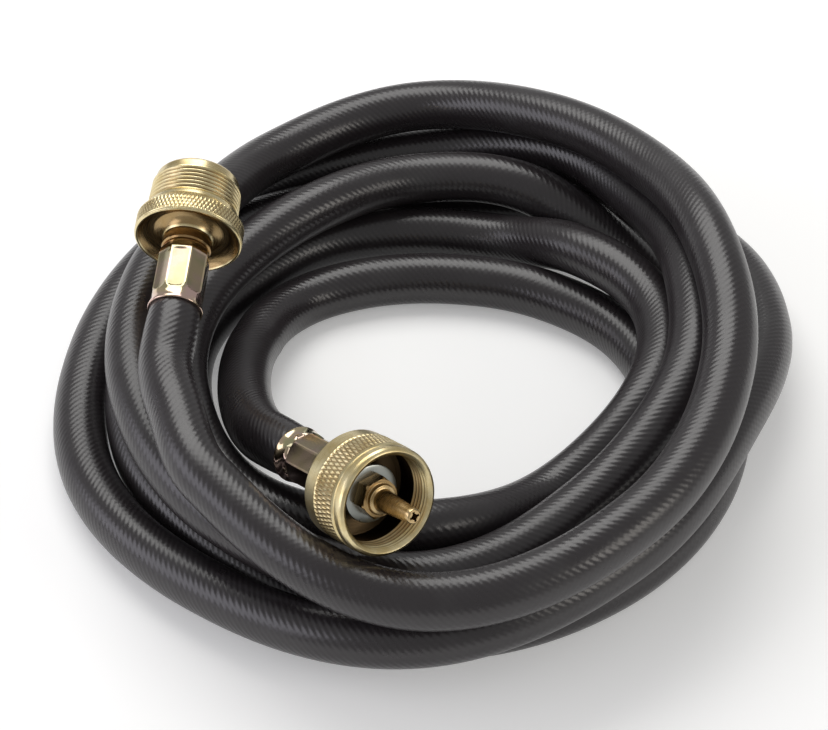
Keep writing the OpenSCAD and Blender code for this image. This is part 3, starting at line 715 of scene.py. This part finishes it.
def thread_outline(start, count, pitch, crest, root):
    """Ring grooves with flat crests and roots, in millimetres."""
    return [point for k in range(count) for point in (
        (start + k * pitch, crest), (start + (k + 0.2) * pitch, crest),
        (start + (k + 0.55) * pitch, root), (start + (k + 0.65) * pitch, root))]


def shade_threads(bm, start, end, crest, root):
    """Lowers the mask in the roots of a thread, which paints shade into the grooves."""
    clean_and_lit = bm.verts.layers.float["clean_and_lit"]
    low, high = min(crest, root), max(crest, root)
    for vert in bm.verts:
        radius = radius_of(vert) / MM
        if start * MM <= vert.co.z <= end * MM and low - 0.05 <= radius <= high + 0.05:
            vert[clean_and_lit] = 0.1 + 0.9 * abs(radius - root) / abs(crest - root)


def darken(bm, start, end, inner, outer, share):
    """Lowers the mask between two radii and two distances along the axis, which makes the brass darker there."""
    clean_and_lit = bm.verts.layers.float["clean_and_lit"]
    for vert in bm.verts:
        if start * MM < vert.co.z < end * MM and inner * MM < radius_of(vert) < outer * MM:
            vert[clean_and_lit] *= share


class HOSE_OT_outlet(bpy.types.Operator):
    """Make the brass outlet with its thread and knurled flange"""
    bl_idname = "propane_hose.outlet"
    bl_label = "Outlet"

    def execute(self, context):
        brass = context.scene.hose_brass
        pitch, depth = brass.thread_pitch / MM, brass.thread_depth / MM
        flange, thread, back, flange_front = 14.8, 12.7, 23.5, 29
        boss, socket, socket_floor, seal_seat, bore = 5.1, 9.4, 35.8, 5.5, 2.6
        thread_start, threads = 32.3, 6
        thread_end = thread_start + threads * pitch
        end = thread_end + 3.8
        knurl_start, knurl_end = 24.3, 28.6
        rows = 20
        outline = [(back, boss), (back, 6.8), (back + 0.8, 7.15), (back + 1.6, 7.8), (back + 2.3, 8.7),
                   (back + 2.7, 9.7), (back + 2.7, 10.9), (back + 2.2, 12.1), (back + 1.3, 13.1),
                   (back + 0.5, 13.7), (back + 0.05, 13.95), (back, 14.3), (back + 0.3, flange - 0.12),
                   (knurl_start - 0.15, flange - 0.1)]
        outline += [(knurl_start + (knurl_end - knurl_start) * k / rows, flange) for k in range(rows + 1)]
        outline += [(flange_front, flange - 0.4), (flange_front + 1.6, thread + 0.35),
                    (thread_start - 0.5, thread + 0.2),
                    (thread_start - 0.35, thread - depth * 0.8), (thread_start - 0.15, thread - depth * 0.8)]
        outline += thread_outline(thread_start, threads, pitch, thread, thread - depth)
        outline += [(thread_end, thread), (thread_end + 0.5, thread), (thread_end + 0.8, thread - 0.6),
                    (end - 0.9, thread - 0.65), (end - 0.3, thread - 1.1), (end, thread - 1.7),
                    (end, socket + 0.4), (end - 0.4, socket), (socket_floor, socket), (socket_floor, 6.6),
                    (34.2, 6.6), (34.2, seal_seat), (30, seal_seat), (30, bore), (28.9, bore), (28.9, boss)]
        bm = lathe(outline, brass.flange_teeth * 6, 0.09)
        knurl(bm, knurl_start * MM, knurl_end * MM, flange * MM, brass.flange_teeth, brass.flange_pitch,
              brass.knurl_depth * 0.6, 1.6)
        shade_threads(bm, thread_start - 0.5, thread_end, thread, thread - depth)
        # Painted shade: the hollow back of the flange is darkened, standing in for the dark hose that it reflects.
        darken(bm, back + 0.02, back + 3, 6.9, 13.9, 0.24)
        darken(bm, thread_end + 0.6, end + 0.1, 9.5, 13, 0.62)
        # The threaded neck is slightly conical
        taper = 0.03
        for vert in bm.verts:
            along = (vert.co.z / MM - flange_front) / (thread_end - flange_front)
            if along > 0 and radius_of(vert) > (socket + 1.1) * MM:
                press(vert, 1 - taper * along)
        material = machined_brass("brass_outlet", brass.pale, brass.deep, brass.tarnish_and_shade, 0.27)
        finish_piece("outlet", bm, place_of(OUTLET_MOUTH, OUTLET_AIM), material, FIXED, "outlet_body",
                     sharp=28)
        return {"FINISHED"}


class HOSE_OT_nut(bpy.types.Operator):
    """Make the knurled swivel nut"""
    bl_idname = "propane_hose.nut"
    bl_label = "Swivel nut"

    def execute(self, context):
        brass = context.scene.hose_brass
        pitch, depth = brass.thread_pitch / MM, brass.thread_depth / MM
        back, end, floor, radius, thread, bore = 25.5, 42.7, 28.9, 14.2, 12.7, 6.08
        crest, threads = thread - depth, 5
        knurl_start, knurl_end = 30.3, 38.9
        thread_start = end - 0.8 - threads * pitch
        rows = 32
        inside = thread_outline(thread_start, threads, pitch, crest, thread)
        outline = [(back, bore), (back, radius - 0.9), (back + 0.3, radius - 0.3), (back + 0.9, radius),
                   (knurl_start - 0.05, radius)]
        outline += [(knurl_start + 0.3 + (knurl_end - knurl_start - 0.6) * k / rows, radius + 0.15)
                    for k in range(rows + 1)]
        outline += [(knurl_end, radius - 0.3), (knurl_end + 0.6, radius - 0.3), (knurl_end + 0.9, radius),
                    (end - 1.1, radius), (end - 0.4, radius - 0.35), (end - 0.05, radius - 0.95),
                    (end, thread + 0.4), (end - 0.8, crest)]
        outline += inside[::-1]
        outline += [(thread_start - 0.65, thread), (floor, thread), (floor, bore)]
        bm = lathe(outline, brass.nut_teeth * 6, 0.1)
        knurl(bm, (knurl_start + 0.3) * MM, (knurl_end - 0.3) * MM, (radius + 0.15) * MM, brass.nut_teeth,
              brass.nut_pitch, brass.knurl_depth, 1.25)
        shade_threads(bm, thread_start - 0.1, end - 1.0, crest, thread)
        # Painted shade: the inside of the nut and its thread roots are made nearly black, where light hardly gets in.
        darken(bm, back + 0.5, thread_start - 0.3, 6, thread + 0.1, 0.02)
        darken(bm, thread_start - 0.3, end - 3.2, 6, thread + 0.1, 0.45)
        material = machined_brass("brass_nut", brass.pale, brass.deep, brass.tarnish_and_shade, 0.3)
        finish_piece("nut_shell", bm, place_of(INLET_MOUTH, INLET_AIM), material, TURNING, "swivel_nut",
                     sharp=28)
        return {"FINISHED"}


class HOSE_OT_probe(bpy.types.Operator):
    """Make the probe with its hexagon and slotted tip, and the thrust washer"""
    bl_idname = "propane_hose.probe"
    bl_label = "Probe and washer"

    def execute(self, context):
        brass = context.scene.hose_brass
        place = place_of(INLET_MOUTH, INLET_AIM)
        start, hex_end, tip, neck, bore, flat = 35.0, 39.0, 54.1, 3.9, 0.8, 4.8
        corner = flat / math.cos(math.pi / 6)
        outline = [(start, neck), (start, corner), (hex_end - 0.5, corner), (hex_end, 4.9), (hex_end, neck + 0.2),
                   (hex_end + 0.15, neck), (hex_end + 1.1, neck), (hex_end + 1.25, neck - 0.2),
                   (hex_end + 1.3, 2.95), (hex_end + 2.2, 2.8), (50.5, 2.15), (52.6, 2.02), (53.4, 2.0),
                   (53.9, 1.85), (tip, 1.6), (tip, bore), (38.1, bore), (38.1, neck)]
        bm = lathe(outline, 96, 0.08)
        for vert in bm.verts:
            radius = radius_of(vert)
            if vert.co.z < (hex_end + 0.05) * MM and radius > 4.5 * MM:
                turn = (math.atan2(vert.co.y, vert.co.x) + math.pi / 6) % (math.pi / 3) - math.pi / 6
                press(vert, min(1, flat * MM / math.cos(turn) / radius))
        darken(bm, start - 0.1, hex_end + 0.05, 3, 6, 0.3)
        material = machined_brass("brass_probe", brass.probe, brass.probe_deep, brass.tarnish_and_shade, 0.26)
        cutter = new_bmesh()
        for turn in (0, math.pi / 2):
            slot = Matrix.Diagonal((2.6 * MM, 0.6 * MM, 2.8 * MM, 1))
            bmesh.ops.create_cube(cutter, size=1, matrix=Matrix.Translation((0, 0, tip * MM))
                                  @ Matrix.Rotation(turn, 4, "Z") @ slot)
        piece = finish_piece("probe_turned", bm, place, material, FIXED, "probe", sharp=28)
        cut_away(piece, cutter, place)

        washer = 7.6
        bm = lathe([(start - 1.2, neck), (start - 1.2, washer), (start, washer), (start, neck)], 128, 0.35)
        finish_piece("washer", bm, place, grey_zinc(brass), FIXED, "thrust_washer")
        return {"FINISHED"}


class HOSE_OT_small_parts(bpy.types.Operator):
    """Finish the stems, the seal and its bush"""
    bl_idname = "propane_hose.small_parts"
    bl_label = "Stems and seal"

    def execute(self, context):
        brass = context.scene.hose_brass
        stem = machined_brass("brass_stem", brass.stem, brass.stem_deep, brass.tarnish_and_shade, 0.25, uses_clean_and_lit=False)
        bush = machined_brass("brass_bush", brass.pale, brass.deep, brass.tarnish_and_shade, 0.3, uses_clean_and_lit=False)
        for name, material in (("outlet_stem", stem), ("inlet_stem", stem), ("seal_retainer", bush),
                               ("outlet_seal", seal_rubber())):
            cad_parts[name].data.materials.clear()
            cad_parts[name].data.materials.append(material)
        return {"FINISHED"}


class HOSE_PT_panel(bpy.types.Panel):
    """Lists the pieces of the hose"""
    bl_idname = "HOSE_PT_panel"
    bl_label = "Propane Hose"
    bl_space_type = "VIEW_3D"
    bl_region_type = "UI"
    bl_category = "Propane Hose"

    def draw(self, context):
        for settings in ("hose_sizes", "hose_ferrules", "hose_brass", "hose_stage"):
            box = self.layout.box()
            group = getattr(context.scene, settings)
            for name in group.bl_rna.properties.keys():
                if name not in ("rna_type", "name"):
                    box.prop(group, name)
        for operator in PIECES:
            self.layout.operator(operator.bl_idname)


PIECES = (HOSE_OT_stage, HOSE_OT_hose, HOSE_OT_ferrules, HOSE_OT_outlet, HOSE_OT_nut, HOSE_OT_probe,
          HOSE_OT_small_parts)
SETTINGS = {"hose_sizes": HoseSettings, "hose_ferrules": FerruleSettings, "hose_brass": BrassSettings,
            "hose_stage": StageSettings}


def register():
    for cls in (*SETTINGS.values(), *PIECES, HOSE_PT_panel):
        bpy.utils.register_class(cls)
    for name, group in SETTINGS.items():
        setattr(bpy.types.Scene, name, PointerProperty(type=group))


def unregister():
    for name in SETTINGS:
        delattr(bpy.types.Scene, name)
    for cls in reversed((*SETTINGS.values(), *PIECES, HOSE_PT_panel)):
        bpy.utils.unregister_class(cls)


def main():
    register()
    for operator in PIECES:
        getattr(bpy.ops.propane_hose, operator.bl_idname.split(".")[1])()


if __name__ == "__main__":
    main()
